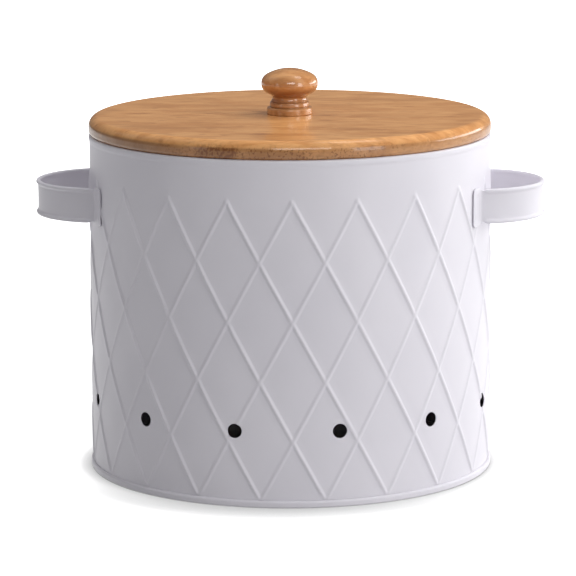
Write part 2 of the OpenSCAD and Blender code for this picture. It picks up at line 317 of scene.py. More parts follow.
class NodeSketch:
    """A short way to write the nodes of one material."""

    def __init__(self, name: str) -> None:
        """Starts an empty material of that name."""
        self.material = bpy.data.materials.new(name)
        self.material.use_nodes = True
        self.tree = self.material.node_tree
        self.tree.nodes.clear()
        self.output = self.tree.nodes.new("ShaderNodeOutputMaterial")

    def node(self, kind: str, settings: Optional[dict] = None, **inputs: object) -> bpy.types.Node:
        """A node with its settings, and its inputs set or linked by name.

        Args:
            kind: the node's type without its ShaderNode prefix.
            settings: attributes of the node.
            inputs: values, or sockets to link, by input name, with _ for a space.

        Returns:
            The new node.
        """
        made = self.tree.nodes.new("ShaderNode" + kind)
        for key, value in (settings or {}).items():
            setattr(made, key, value)
        for key, value in inputs.items():
            self.feed(made.inputs[key.replace("_", " ")], value)
        return made

    def feed(self, socket: Socket, value: object) -> None:
        """Links a socket to the input, or sets the input's value."""
        if isinstance(value, Socket):
            self.tree.links.new(value, socket)
        elif isinstance(value, tuple) and len(value) == 3 and socket.type == "RGBA":
            socket.default_value = (*value, 1.0)
        else:
            socket.default_value = value

    def maths(self, kind: str, a: object, b: object = 0.0) -> Socket:
        """The result of a Math node of that kind on a and b."""
        made = self.node("Math", {"operation": kind})
        self.feed(made.inputs[0], a)
        self.feed(made.inputs[1], b)
        return made.outputs[0]

    def plus(self, a: object, b: object) -> Socket:
        """The sum of a and b."""
        return self.maths("ADD", a, b)

    def less(self, a: object, b: object) -> Socket:
        """What is left of a without b."""
        return self.maths("SUBTRACT", a, b)

    def times(self, a: object, b: object) -> Socket:
        """The product of a and b."""
        return self.maths("MULTIPLY", a, b)

    def length(self, a: object, b: object) -> Socket:
        """The length of the vector (a, b)."""
        return self.maths("SQRT", self.plus(self.times(a, a), self.times(b, b)))

    def ramp(self, value: object, low: float, high: float, to_low: float = 0.0,
             to_high: float = 1.0) -> Socket:
        """A smooth step from to_low to to_high as the value goes from low to high."""
        made = self.node("MapRange", {"interpolation_type": "SMOOTHSTEP"}, Value=value,
                         From_Min=low, From_Max=high, To_Min=to_low, To_Max=to_high)
        return made.outputs["Result"]

    def place(self, scale: Triple = (1.0, 1.0, 1.0)) -> Socket:
        """Object coordinates in metres, scaled by a Mapping node."""
        coords = self.node("TexCoord").outputs["Object"]
        return self.node("Mapping", Vector=coords, Scale=scale).outputs["Vector"]

    def axes(self) -> object:
        """The outputs X, Y and Z of the object coordinates in metres."""
        return self.node("SeparateXYZ", Vector=self.place()).outputs

    def vector(self, x: object, y: object, z: object) -> Socket:
        """The vector (x, y, z)."""
        return self.node("CombineXYZ", X=x, Y=y, Z=z).outputs[0]

    def noise(self, vector: object, scale: float, detail: float = 2.0, rough: float = 0.5,
              distort: float = 0.0) -> Socket:
        """Noise from 0 to 1 at a scale per metre of the vector."""
        return self.node("TexNoise", Vector=vector, Scale=scale, Detail=detail, Roughness=rough,
                         Distortion=distort).outputs["Fac"]

    def blend(self, factor: object, a: object, b: object) -> Socket:
        """Colour a turned into colour b by the factor."""
        made = self.node("Mix", {"data_type": "RGBA"})
        for key, value in (("Factor_Float", factor), ("A_Color", a), ("B_Color", b)):
            self.feed(next(s for s in made.inputs if s.identifier == key), value)
        return next(s for s in made.outputs if s.identifier == "Result_Color")

    def wash(self, tone: object, factor: object, strength: float, colour: object) -> Socket:
        """The tone turned into a colour by the factor times a strength."""
        return self.blend(self.times(factor, strength), tone, colour)

    def finish(self, shader: Socket) -> Material:
        """Links the shader to the output and returns the material."""
        self.tree.links.new(shader, self.output.inputs["Surface"])
        return self.material

    def bumpy(self, height: object, strength: float, depth: float, **inputs: object) -> Material:
        """The finished material of one shader with a bump.

        Args:
            height: the bump's height, from 0 to 1.
            strength: the bump's strength.
            depth: the bump's depth in metres.
            inputs: the Principled shader's inputs by name, with _ for a space.

        Returns:
            The material.
        """
        bump = self.node("Bump", Strength=strength, Distance=depth, Height=height)
        shader = self.node("BsdfPrincipled", Normal=bump.outputs["Normal"], **inputs)
        return self.finish(shader.outputs["BSDF"])


class StripSketch(NodeSketch):
    """The nodes of wood that is glued up from strips along X."""

    def __init__(self, name: str, strip: float, first_joint: float) -> None:
        """Starts the material with its coordinates in metres and the number of the strip there."""
        super().__init__(name)
        self.x, self.y, self.z = self.axes()
        self.strip_no = self.maths("FLOOR", self.maths("DIVIDE", self.plus(self.y, first_joint), strip))

    def drawn_out(self, scale: Triple, shift: object, both: bool) -> Socket:
        """The coordinates times a scale, moved by a shift along X or, with both, along X and Z."""
        x, y, z = (self.times(axis, by) for axis, by in zip((self.x, self.y, self.z), scale))
        return self.vector(self.plus(x, shift), y, self.plus(z, shift) if both else z)


@dataclass(frozen=True)
class PowderCoat:
    """White powder coat: a satin skin with a faint orange peel."""

    tone: Colour = (0.790, 0.767, 0.824)
    shade: Colour = (0.760, 0.738, 0.797)
    roughness: float = 0.36
    rougher: float = 0.06
    sheen: float = 0.45
    drift_per_m: float = 14.0
    peel_per_m: float = 700.0
    waves_per_m: float = 90.0
    waves_share: float = 1.6
    bump: float = 0.35
    bump_depth: float = 0.00003

    def material(self) -> Material:
        """The material, with its peel and a slow drift of tone."""
        s = NodeSketch("powder_coat")
        at = s.place()
        drift = s.noise(at, self.drift_per_m, 3.0)
        peel, waves = s.noise(at, self.peel_per_m), s.noise(at, self.waves_per_m)
        return s.bumpy(s.plus(peel, s.times(waves, self.waves_share)), self.bump, self.bump_depth,
                       Base_Color=s.blend(s.ramp(drift, 0.3, 0.7), self.tone, self.shade),
                       Roughness=s.plus(self.roughness, s.times(drift, self.rougher)),
                       Specular_IOR_Level=self.sheen)


@dataclass(frozen=True)
class Bamboo:
    """Varnished caramel bamboo, glued up from strips that run along X.

    The grain's noises (streaks, fibres, clouds, dashes) each have their changes per metre along
    and across the grain and their octaves. Places and heights are in metres.
    """

    name: str
    light: Colour = (0.790, 0.402, 0.157)
    mid: Colour = (0.640, 0.288, 0.097)
    dark: Colour = (0.330, 0.130, 0.040)
    # Colour of the painted shade under the knob's head.
    painted_head_shade: Colour = (0.200, 0.060, 0.013)
    # Colour of the painted shade on the ends of the lid's cut edge.
    edge_shade: Colour = (0.22, 0.118, 0.068)
    brown: Colour = (0.27, 0.105, 0.032)
    speck: Colour = (0.215, 0.078, 0.022)
    strip: float = 0.032
    first_joint: float = 0.054
    grain: float = 1.0
    streaks: Triple = (34.0, 105.0, 3.0)
    fibres: Triple = (95.0, 420.0, 2.0)
    clouds: Triple = (19.0, 40.0, 1.0)
    dashes: Triple = (60.0, 140.0, 1.0)
    roughness: float = 0.30
    rougher: float = 0.10
    coat: float = 0.58
    coat_roughness: float = 0.11
    under_gloss: float = 0.15
    bump: float = 0.30
    bump_depth: float = 0.00006
    edge_from: float = 0.0
    edge_top: float = 0.2082
    edge_dots: Triple = (760.0, 90.0, 620.0)
    edge_patches: Triple = (30.0, 12.0, 95.0)
    brown_at: float = -0.037
    painted_head_shade_from: float = 0.0
    painted_head_shade_share: float = 0.72
    knots: Tuple[Tuple[float, float, float, float], ...] = ()

    def grain_at(self, s: StripSketch, kind: Triple) -> Socket:
        """Streaks of noise along X that break off at the joints between strips.

        Args:
            s: the sketch that they are drawn in.
            kind: changes per metre along the grain and across it, and octaves.

        Returns:
            The streaks, from 0 to 1.
        """
        along, across, detail = kind
        shift = s.times(s.strip_no, 3.7)
        scale = (along * self.grain, across * self.grain, across * self.grain)
        return s.noise(s.drawn_out(scale, shift, True), 1.0, detail, 0.62, 0.4)

    def tones(self, s: StripSketch) -> Tuple[Socket, Socket]:
        """The colour and the height of the grain.

        Each strip has its own tone, a random value of its number across Y. Streaks and fine
        fibres run along X, broad patches are lighter or browner, and short dark dashes mark the
        bamboo's knots. Just above a given height a band of painted shade darkens the colour, for
        the shade under the knob's head.

        Args:
            s: the sketch that they are drawn in.

        Returns:
            The colour and the grain's height.
        """
        own = s.node("TexWhiteNoise", {"noise_dimensions": "1D"}, W=s.strip_no).outputs["Value"]
        streaks, fibres, clouds, dashes = (self.grain_at(s, kind) for kind in (
            self.streaks, self.fibres, self.clouds, self.dashes))
        tone = s.blend(s.ramp(streaks, 0.34, 0.64), self.mid, self.light)
        for factor, strength, colour in ((s.ramp(clouds, 0.50, 0.74), 0.30, self.dark),
                                         (s.ramp(clouds, 0.47, 0.26), 0.38, self.light),
                                         (s.ramp(fibres, 0.50, 0.75), 0.32, self.dark),
                                         (s.ramp(dashes, 0.64, 0.76), 0.50, self.dark),
                                         (own, 0.22, self.mid)):
            tone = s.wash(tone, factor, strength, colour)
        for knot in self.knots:
            tone = self.knot(s, tone, knot)
        if self.edge_from:
            tone = self.edge(s, tone)
        # Painted shade under the knob's head: a darker band just above a given height.
        if self.painted_head_shade_from:
            low = self.painted_head_shade_from
            painted_head_shade = s.times(s.ramp(s.z, low, low + 0.0010),
                           s.ramp(s.z, low + 0.0040, low + 0.0080, self.painted_head_shade_share, 0.0))
            tone = s.blend(painted_head_shade, tone, self.painted_head_shade)
        return tone, s.plus(streaks, s.times(fibres, 0.6))

    def knot(self, s: StripSketch, tone: Socket, knot: Tuple[float, float, float, float]) -> Socket:
        """A browner patch with a ragged border, where a knot of the cane was.

        Args:
            s: the sketch that it is drawn in.
            tone: the colour of the face.
            knot: its place along X and Y, its half width along X, and its strength.

        Returns:
            The colour with the patch.
        """
        x, y, half, strength = knot
        away = s.length(s.maths("DIVIDE", s.less(s.x, x), half),
                        s.maths("DIVIDE", s.less(s.y, y), half * 0.7))
        ragged = s.plus(away, s.noise(s.place((1.0, 2.5, 1.0)), 260.0))
        return s.blend(s.ramp(ragged, 0.7, 1.7, strength, 0.0), tone, self.dark)

    def edge(self, s: StripSketch, tone: Socket) -> Socket:
        """The cut edge: bundles of fibre seen end on, as dark dots, with browner patches, and painted shade
        that greys it, most towards its left end and less towards its right.

        The middle ply's fibres run along Y, so the dots are noise drawn out along Y: round on the
        front and weak streaks at the sides. The cut edge shows outside the radius edge_from and
        below the height edge_top, and faint dots reach up over the rounding.

        Args:
            s: the sketch that it is drawn in.
            tone: the colour of the face.

        Returns:
            The colour with the edge's dots and patches.
        """
        outside = s.ramp(s.length(s.x, s.y), self.edge_from, self.edge_from + 0.002)
        rim = s.times(outside, s.ramp(s.z, self.edge_top - 0.0009, self.edge_top + 0.0007, 1.0, 0.0))
        dots = s.noise(s.place(self.edge_dots), 1.0, 1.0)
        end_on = s.ramp(s.maths("ABSOLUTE", s.x), 0.045, 0.080, 1.0, 0.15)
        patches = s.noise(s.drawn_out(self.edge_patches, s.times(s.strip_no, 2.3), False), 1.0, 3.0, 0.6)
        # Painted shade: the cut edge is greyed by its place along X, most at the left end, less at the
        # right.
        edge_shade_mask = s.maths("MAXIMUM", s.ramp(s.x, -0.085, -0.035, 0.68, 0.16),
                         s.ramp(s.x, 0.02, 0.07, 0.0, 0.34))
        tone = s.blend(s.times(rim, edge_shade_mask), tone, self.edge_shade)
        patch = s.ramp(s.maths("ABSOLUTE", s.less(s.x, self.brown_at)), 0.008, 0.017, 1.0, 0.0)
        browner = s.maths("MAXIMUM", s.ramp(patches, 0.50, 0.66, 0.25, 0.75), patch)
        tone = s.wash(tone, s.times(browner, s.times(rim, end_on)), 0.80, self.brown)
        tone = s.wash(tone, s.times(s.ramp(patches, 0.44, 0.34), rim), 0.35, self.light)
        speck = s.times(s.ramp(dots, 0.53, 0.66), s.ramp(patches, 0.40, 0.58, 0.20, 0.80))
        speck = s.maths("MAXIMUM", speck, s.times(s.ramp(dots, 0.46, 0.58), patch))
        reach = s.times(s.ramp(s.z, self.edge_top, self.edge_top + 0.0028, 1.0, 0.0), outside)
        reach = s.maths("MAXIMUM", rim, s.times(reach, 0.35))
        return s.blend(s.times(s.times(speck, end_on), reach), tone, self.speck)

    def material(self) -> Material:
        """The material, with grain in its colour, gloss and bump under a clear varnish."""
        s = StripSketch(self.name, self.strip, self.first_joint)
        tone, grain = self.tones(s)
        return s.bumpy(grain, self.bump, self.bump_depth, Base_Color=tone,
                       Roughness=s.plus(self.roughness, s.times(grain, self.rougher)),
                       Coat_Weight=self.coat, Coat_Roughness=self.coat_roughness,
                       Specular_IOR_Level=self.under_gloss)


@dataclass(frozen=True)
class ZincPlate:
    """Zinc-plated steel, with fine turning marks."""

    tone: Colour = (0.62, 0.63, 0.66)
    dull: Colour = (0.50, 0.50, 0.51)
    roughness: float = 0.30
    rougher: float = 0.14
    bump: float = 0.2
    bump_depth: float = 0.00004

    def material(self) -> Material:
        """The material, with rings about the lid's axis in its bump."""
        s = NodeSketch("zinc_plate")
        at = s.place()
        rings = s.node("TexWave", {"wave_type": "RINGS", "rings_direction": "Z"}, Vector=at,
                       Scale=900.0, Distortion=0.6, Detail=1.0).outputs["Fac"]
        cloud = s.noise(at, 260.0, 3.0)
        return s.bumpy(rings, self.bump, self.bump_depth, Metallic=1.0,
                       Base_Color=s.blend(cloud, self.tone, self.dull),
                       Roughness=s.plus(self.roughness, s.times(cloud, self.rougher)))


@dataclass(frozen=True)
class StudioPaper:
    """The pale table, lit from above and through itself, which the camera sees as white.

    Round the bin's foot it darkens with the share of the light that is hidden there. In front
    that is light from behind, with a broad shadow. At the sides only the contact is dark.
    """

    tone: float = 0.56
    fibre: float = 0.01
    lit: float = 0.45
    through: float = 0.65
    front_to: float = -0.125
    side_from: float = -0.045
    front_at_side: float = 0.12
    front_reach: float = 0.030
    front_lean: float = 60.0
    front_shade: float = 0.76
    side_reach: float = 0.010
    side_shade: float = 1.05
    clear: float = 1.11
    beyond: float = 0.20
    beyond_to: float = 0.15
    far_from: float = 0.40
    far_full: float = 1.50
    glow: float = 0.80

    def hidden(self, s: NodeSketch, lean: float, reach: float, strength: float) -> Socket:
        """The share of a half sky that something near hides, times a strength.

        Args:
            s: the sketch that it is drawn in.
            lean: how far that sky leans towards the back, in degrees.
            reach: how near a thing must be to count, in metres.
            strength: the factor.

        Returns:
            The shade.
        """
        towards = s.vector(0.0, math.sin(math.radians(lean)), math.cos(math.radians(lean)))
        sky = s.node("AmbientOcclusion", {"samples": 16}, Distance=reach, Normal=towards).outputs["AO"]
        return s.times(s.less(1.0, sky), strength)

    def material(self) -> Material:
        """The material: diffuse paper with a light of its own in the camera's view.

        Far away, where the lamps don't reach, that light grows.
        """
        s = NodeSketch("studio_paper")
        path = s.node("LightPath").outputs
        # Painted shadow round the bin's foot: the paper's colour and its own light are dimmed by the share
        # of sky hidden nearby, more in front.
        in_front = s.ramp(s.axes()["Y"], self.front_to, self.side_from, 1.0, self.front_at_side)
        front = self.hidden(s, self.front_lean, self.front_reach, self.front_shade)
        side = self.hidden(s, 0.0, self.side_reach, self.side_shade)
        shade = s.plus(s.times(in_front, front), s.times(s.less(1.0, in_front), side))
        seen = s.plus(s.less(self.clear, shade), s.ramp(shade, 0.0, self.beyond_to, self.beyond, 0.0))
        tone = s.plus(self.tone, s.times(s.noise(s.place(), 300.0), self.fibre))
        change = s.less(s.times(seen, self.lit), tone)
        value = s.plus(s.times(path["Is Camera Ray"], change), tone)
        paper = s.node("BsdfDiffuse", Color=s.vector(value, value, value))
        away = s.node("VectorMath", {"operation": "LENGTH"}, Vector=s.place()).outputs["Value"]
        own = s.plus(s.times(seen, self.through), s.ramp(away, self.far_from, self.far_full))
        light = s.node("Emission", Strength=s.plus(s.times(path["Is Camera Ray"], own),
                                                   s.times(path["Is Glossy Ray"], self.glow)))
        both = s.node("AddShader")
        s.feed(both.inputs[0], paper.outputs[0])
        s.feed(both.inputs[1], light.outputs[0])
        return s.finish(both.outputs[0])


# The bin.


@dataclass
class WallShell:
    """The embossed steel wall, with its curled rim and its ring of vent holes."""

    radius: float = 120.0
    sheet: float = 0.6
    foot: float = 1.05
    top: float = 201.6
    curl: float = 1.4
    curl_end: float = 292.0
    curl_steps: Tuple[int, int] = (26, 20)
    rim_proud: float = 0.35
    rim_from: float = 197.2
    rim_over: float = 1.7
    columns: int = 20
    half_rows: int = 5
    lattice_top: float = 177.25
    half_row: float = 34.705
    lattice_turn: float = 2.8
    ridge_half: float = 1.95
    ridge_high: float = 0.88
    ridge_low: float = 0.50
    notch: float = 0.40
    notch_from: float = 0.5
    notch_over: float = 2.4
    fade_from: float = 4.2
    fade_over: float = 1.6
    vents: int = 12
    vent_radius: float = 4.2
    vent_pitch: float = 29.2
    vent_turn: float = 1.2
    vent_height: float = 44.5
    vent_steps: int = 44
    vent_clear: float = 2.3
    lip_out: Tuple[float, ...] = (0.0, 0.04, 0.14, 0.3, 0.8, 1.6)
    cells: int = 16
    fine_cells: int = 4
    fine_beyond: float = 0.15
    above: Tuple[float, ...] = (200.2, 199.5, 198.9, 198.5, 198.1, 197.7, 197.2, 196.4, 192.0, 186.0,
                                181.5, 179.4, 178.6, 177.9)
    below: Tuple[float, ...] = (3.0, 2.0)
    lap_half: float = 3.0
    lap_thick: float = 0.45
    lap_round: float = 0.3
    lap_low: float = 4.6
    lap_high: float = 197.0

    def steps_in_cell(self) -> Array:
        """Places along one side of a diamond, from 0 up to 1: close together near the ridges."""
        edge = (self.ridge_half + self.fine_beyond) / self.across()
        near = np.linspace(0.0, edge, self.fine_cells + 1)
        middle = np.linspace(edge, 1.0 - edge, self.cells - 2 * self.fine_cells + 1)
        return np.concatenate([near[:-1], middle, (1.0 - near[::-1])[1:]])[:-1]

    def pitch(self) -> float:
        """Distance along the wall from one ridge to the next."""
        return 2 * math.pi * self.radius / self.columns

    def lean(self) -> float:
        """Angle of the ridges from the vertical, in radians."""
        return math.atan2(self.pitch() / 2, self.half_row)

    def across(self) -> float:
        """Distance between two ridges of one family, square to them."""
        return self.pitch() * math.cos(self.lean())

    def ridge_distance(self, along: Array, down: Array, side: int) -> Array:
        """Distance to the nearest ridge of one family on the unrolled wall.

        A ridge starts at a top point of the lattice and runs down at the lean, to the right for
        side 1 and to the left for side -1. Beside it the distance is square to it, and above its
        start the distance is to the start.

        Args:
            along: distance along the wall from the first top point, in millimetres.
            down: distance below the top points.
            side: 1 or -1.

        Returns:
            The distance at each point.
        """
        lean, pitch = self.lean(), self.pitch()
        start = np.round((along - side * down * math.tan(lean)) / pitch) * pitch
        dx = side * (along - start)
        travel = dx * math.sin(lean) + down * math.cos(lean)
        beside = np.abs(dx * math.cos(lean) - down * math.sin(lean))
        return np.where(travel < 0, np.hypot(dx, down), beside)

    def relief(self, along: Array, height: Array) -> Array:
        """How far the embossing stands out of the wall.

        A ridge's section is the square of a cosine. The lower family passes through the
        crossings, and the taller one dips just before it meets it. Under the lid the wall swells
        a little into the rolled rim.

        Args:
            along: distance along the wall from the first top point.
            height: height above the table.

        Returns:
            The height of the relief in millimetres.
        """
        down = self.lattice_top - height
        tall = self.ridge_distance(along, down, 1)
        low = self.ridge_distance(along, down, -1)

        def section(distance: Array) -> Array:
            """The ridge's height there, as a share of its full height."""
            return np.cos(np.clip(distance / self.ridge_half, 0, 1) * np.pi / 2) ** 2

        dip = self.notch + (1 - self.notch) * eased(low, self.notch_from, self.notch_over)
        crossed = self.ridge_high * section(tall) * dip
        through = self.ridge_low * section(low)
        lattice = through + crossed - through * crossed / self.ridge_high
        return (lattice * eased(height, self.fade_from, self.fade_over)
                + self.rim_proud * eased(height, self.rim_from, self.rim_over))

    def vent_places(self) -> Array:
        """Distance along the wall of each vent hole's centre, from the front."""
        turns = self.vent_turn + (np.arange(self.vents) - (self.vents - 1) / 2) * self.vent_pitch
        return np.radians(turns) * self.radius

    def unrolled(self) -> Tuple[Array, Array, Array]:
        """The unrolled wall as a grid whose lines follow both families of ridges.

        In the lattice, point (i, n) lies on line p_i of one family and line p_(i + n) of the
        other: it is (p_i + p_(i + n)) / 2 pitches along and p_(i + n) - p_i half rows down. The
        rows above and below it keep the place along and take a height each.

        Returns:
            Along and height of each point, (rows, columns), and the row index at which the
            lattice starts.
        """
        cell = self.steps_in_cell()
        count = self.columns * self.cells
        rows = self.half_rows * self.cells
        line = (np.arange(2 * self.columns)[:, None] + cell).ravel()
        i = np.arange(count)[None, :]
        n = np.arange(rows + 1)[:, None]
        first, second = line[i + 0 * n], line[i + n]
        along = (first + second) / 2 * self.pitch()
        height = self.lattice_top - (second - first) * self.half_row
        above, below = np.array(self.above), np.array([*self.below, self.foot])
        along = np.vstack([np.repeat(along[:1], len(above), axis=0), along,
                           np.repeat(along[-1:], len(below), axis=0)])
        height = np.vstack([np.repeat(above[:, None], count, axis=1), height,
                            np.repeat(below[:, None], count, axis=1)])
        return along, height, np.array([len(above), len(above) + rows])

    def sheet_faces(self, shape: Tuple[int, int], band: Array) -> Tuple[Array, Array]:
        """Quads and triangles of the unrolled grid, round the whole wall.

        A lattice cell has its corners at (n, i), (n + 1, i), (n, i + 1) and (n - 1, i + 1), with
        rows counted downwards. At the lattice's top and bottom the cells are cut in half.

        Args:
            shape: rows and columns of the grid.
            band: first and last row of the lattice.

        Returns:
            The quads and the triangles, facing out of the wall.
        """
        rows, count = shape
        index = ring_numbers(0, rows, count)
        top, low = int(band[0]), int(band[1])
        plain = np.vstack([grid_quads(index[:top + 1]), grid_quads(index[low:])])[:, ::-1]
        body = index[top:low + 1]
        cell = np.stack([body[1:-1, :-1], body[2:, :-1], body[1:-1, 1:], body[:-2, 1:]], axis=-1)
        upper = np.stack([body[0, :-1], body[1, :-1], body[0, 1:]], axis=-1)
        lower = np.stack([body[-1, :-1], body[-1, 1:], body[-2, 1:]], axis=-1)
        return np.vstack([plain, cell.reshape(-1, 4)]), np.vstack([upper, lower])

    def lip(self) -> Tuple[Array, Array]:
        """Distances out from a vent's edge, and how far the skin has dropped there.

        The lip is a half circle as thick as the sheet: at distance e from the edge the skin has
        dropped by half the sheet less the height of that half circle.
        """
        half = self.sheet / 2
        out = np.array(self.lip_out)
        drop = half - np.sqrt(np.maximum(half ** 2 - np.maximum(half - out, 0.0) ** 2, 0.0))
        return out, drop

    def open_border(self, quads: Array, tris: Array) -> List[Tuple[int, int]]:
        """The sides of a patch of faces that no other face of it shares, in the faces' direction."""
        sides = np.vstack([quads[:, [k, (k + 1) % 4]] for k in range(4)]
                          + [tris[:, [k, (k + 1) % 3]] for k in range(3)])
        key = {tuple(e) for e in sides.tolist()}
        return [e for e in key if (e[1], e[0]) not in key]

    def filled(self, flat: Array, limits: Sequence[Tuple[int, int]]) -> Array:
        """Triangles between the border of a gap and a vent's edge.

        Args:
            flat: points of the gap, from the vent's centre.
            limits: the sides that the triangles must keep.

        Returns:
            The triangles, all turned the same way, with none inside the vent.
        """
        found = delaunay_2d_cdt([Vector(p) for p in flat.tolist()], limits, [], 1, 1e-7)
        made = np.array([origins[0] for origins in found[3]])
        face = made[np.array([f for f in found[2] if len(f) == 3])]
        middle = flat[face].mean(axis=1)
        face = face[np.hypot(middle[:, 0], middle[:, 1]) > self.vent_radius * 0.999]
        a, b, c = flat[face[:, 0]], flat[face[:, 1]], flat[face[:, 2]]
        return np.where(np.cross(b - a, c - a)[:, None] < 0, face[:, ::-1], face)

    def open_vents(self, along: Array, height: Array, quads: Array, tris: Array
                   ) -> Tuple[Array, Array, Array, Array, Array, Array]:
        """Cuts the vent holes: the cells near each are taken out and the gap is triangulated
        again between its border and rings of points round the hole.

        Args:
            along: places along the wall of the grid's points.
            height: their heights.
            quads: the grid's quads.
            tris: the grid's triangles.

        Returns:
            Along, height and skin drop of all points, the quads, the triangles, and the point
            numbers of the holes' edges, one row for each hole.
        """
        steps = self.vent_steps
        out, drop = self.lip()
        girth = 2 * math.pi * self.radius
        drops = np.zeros(len(along))
        origin = math.radians(self.lattice_turn) * self.radius
        edges = []
        for centre in self.vent_places():
            dx = (along + origin - centre + girth / 2) % girth - girth / 2
            near = np.hypot(dx, height - self.vent_height) < self.vent_radius + self.vent_clear
            cut_q, cut_t = near[quads].any(axis=1), near[tris].any(axis=1)
            border = self.open_border(quads[cut_q], tris[cut_t])
            loop = sorted({p for e in border for p in e})
            local = {p: i for i, p in enumerate(loop)}
            turn = np.arange(steps) * (2 * np.pi / steps)
            reach = (self.vent_radius + out)[:, None, None]
            ring = (reach * unit(turn)).reshape(-1, 2)
            flat = np.vstack([np.stack([dx[loop], height[loop] - self.vent_height], axis=1), ring])
            start = len(loop)
            limits = [(local[a], local[b]) for a, b in border]
            limits += [(start + k, start + (k + 1) % steps) for k in range(steps)]
            face = self.filled(flat, limits)
            numbers = np.concatenate([loop, len(along) + np.arange(len(ring))])
            edges.append(len(along) + np.arange(steps))
            along = np.concatenate([along, ring[:, 0] + centre - origin])
            height = np.concatenate([height, ring[:, 1] + self.vent_height])
            drops = np.concatenate([drops, np.repeat(drop, steps)])
            quads, tris = quads[~cut_q], np.vstack([tris[~cut_t], numbers[face]])
        return along, height, drops, quads, tris, np.array(edges)

    def rolled(self, along: Array, height: Array, radius: Array) -> Array:
        """Points of the unrolled wall put round the axis.

        The place along becomes the angle from the front, place / wall radius plus the lattice's
        turn, and the point is (r sin a, -r cos a, height).

        Args:
            along: places along the wall.
            height: heights.
            radius: distances from the axis.

        Returns:
            The points.
        """
        a = along / self.radius + math.radians(self.lattice_turn)
        return np.stack([radius * np.sin(a), -radius * np.cos(a), height], axis=1)

    def surface(self) -> Surface:
        """The whole sheet as one closed surface: outer skin, inner skin, vents, foot and curl."""
        grid_along, grid_height, band = self.unrolled()
        quads, tris = self.sheet_faces(grid_along.shape, band)
        count = grid_along.shape[1]
        grid_size = grid_along.size
        along, height, drop, quads, tris, edges = self.open_vents(
            grid_along.ravel(), grid_height.ravel(), quads, tris)
        relief = self.relief(along, height)
        outer = self.rolled(along, height, self.radius + relief - drop)
        inner = self.rolled(along, height, self.radius - self.sheet + relief + drop)
        shift = len(outer)
        to_inner = np.arange(shift) + shift
        to_inner[edges.ravel()] = edges.ravel()
        points = np.vstack([outer, inner])
        all_quads = [quads, to_inner[quads][:, ::-1]]
        all_tris = [tris, to_inner[tris][:, ::-1]]
        foot = np.append(np.arange(grid_size - count, grid_size), grid_size - count)
        all_quads.append(strip_quads(foot, foot + shift)[:, ::-1])
        rim = np.append(np.arange(count), 0)
        centre_r, centre_z = self.radius + self.rim_proud - self.curl, self.top - self.curl
        around, back = self.curl_steps
        wrap = np.vstack([arc(centre_r, centre_z, self.curl, 0.0, self.curl_end, around)[1:],
                          arc(centre_r, centre_z, self.curl - self.sheet, self.curl_end, 0.0, back)[:-1]])
        ring_along = np.tile(grid_along[0], len(wrap))
        ring_points = self.rolled(ring_along, np.repeat(wrap[:, 1], count), np.repeat(wrap[:, 0], count))
        ring_index = ring_numbers(len(points), len(wrap), count)
        points = np.vstack([points, ring_points])
        index = np.vstack([rim[None], ring_index, (rim + shift)[None]])
        all_quads.append(grid_quads(index))
        used = np.zeros(len(points), bool)
        quads, tris = np.vstack(all_quads), np.vstack(all_tris)
        used[quads.ravel()] = True
        used[tris.ravel()] = True
        renumber = np.cumsum(used) - 1
        return Surface(points[used], renumber[quads], renumber[tris])

    def lap_seam(self) -> Surface:
        """The overlap of the vertical seam, inside at the back: a thin strip with soft edges.

        Its section is a flat rounded rectangle on the inner skin, carried straight up.
        """
        half, thick, soft = self.lap_half, self.lap_thick, self.lap_round
        section = rounded_outline([(-half, 0.0, 0.0), (half, 0.0, 0.0), (half, thick, soft),
                                   (-half, thick, soft)], True, 4)
        heights = np.linspace(self.lap_low, self.lap_high, 40)
        radius = self.radius - self.sheet - section[:, 1]
        a = np.pi + section[:, 0] / self.radius
        ring = np.stack([radius * np.sin(a), -radius * np.cos(a)], axis=1)
        sections = np.concatenate([np.repeat(ring[None], len(heights), axis=0),
                                   np.repeat(heights[:, None, None], len(ring), axis=1)], axis=2)
        return carried(sections)

    def build(self, coat: Material) -> None:
        """Makes the wall and its inner seam."""
        make_piece("wall_shell", self.surface(), coat, Carrier.BIN, ["body_shell"], 75.0)
        make_piece("wall_lap_seam", self.lap_seam(), coat, Carrier.BIN)


@dataclass
class BasePan:
    """The recessed base panel with the rolled seam that holds the wall's foot."""

    wall: float = 120.0
    sheet: float = 0.6
    out: float = 1.38
    inward: float = 1.4
    seam: float = 4.28
    groove: float = 1.0
    slack: float = 0.05
    panel_low: float = 2.8
    panel_top: float = 3.4
    step_in: float = 96.0
    step_out: float = 97.2
    step_down: float = 0.5
    step_skew: float = 0.2
    step_round: float = 2.0

    def surface(self) -> Surface:
        """The panel and seam in section, turned about Z, with a shallow step near the rim."""
        x0 = self.wall - self.sheet - self.inward
        x1 = self.wall + self.out
        g0, g1 = self.wall - self.sheet - self.slack, self.wall + self.slack
        low, top, soft = self.panel_low, self.panel_top, self.step_round
        corners = [(0.0, low, 0), (self.step_in, low, soft),
                   (self.step_out, low - self.step_down, soft), (x0, low - self.step_down, 0.4),
                   (x0, 0.0, 0.8), (x1, 0.0, 1.1), (x1, self.seam, 1.5), (g1, self.seam, 0.25),
                   (g1, self.groove, 0.05), (g0, self.groove, 0.05), (g0, self.seam, 0.25),
                   (x0, self.seam, 0.6), (x0, top - self.step_down, 0.3),
                   (self.step_out - self.step_skew, top - self.step_down, soft),
                   (self.step_in - self.step_skew, top, soft), (0.0, top, 0)]
        return turned(rounded_outline(corners, False, 7), 288, False)

    def build(self, coat: Material) -> None:
        """Makes the base."""
        make_piece("base_pan_seam", self.surface(), coat, Carrier.BIN, ["base_pan"])


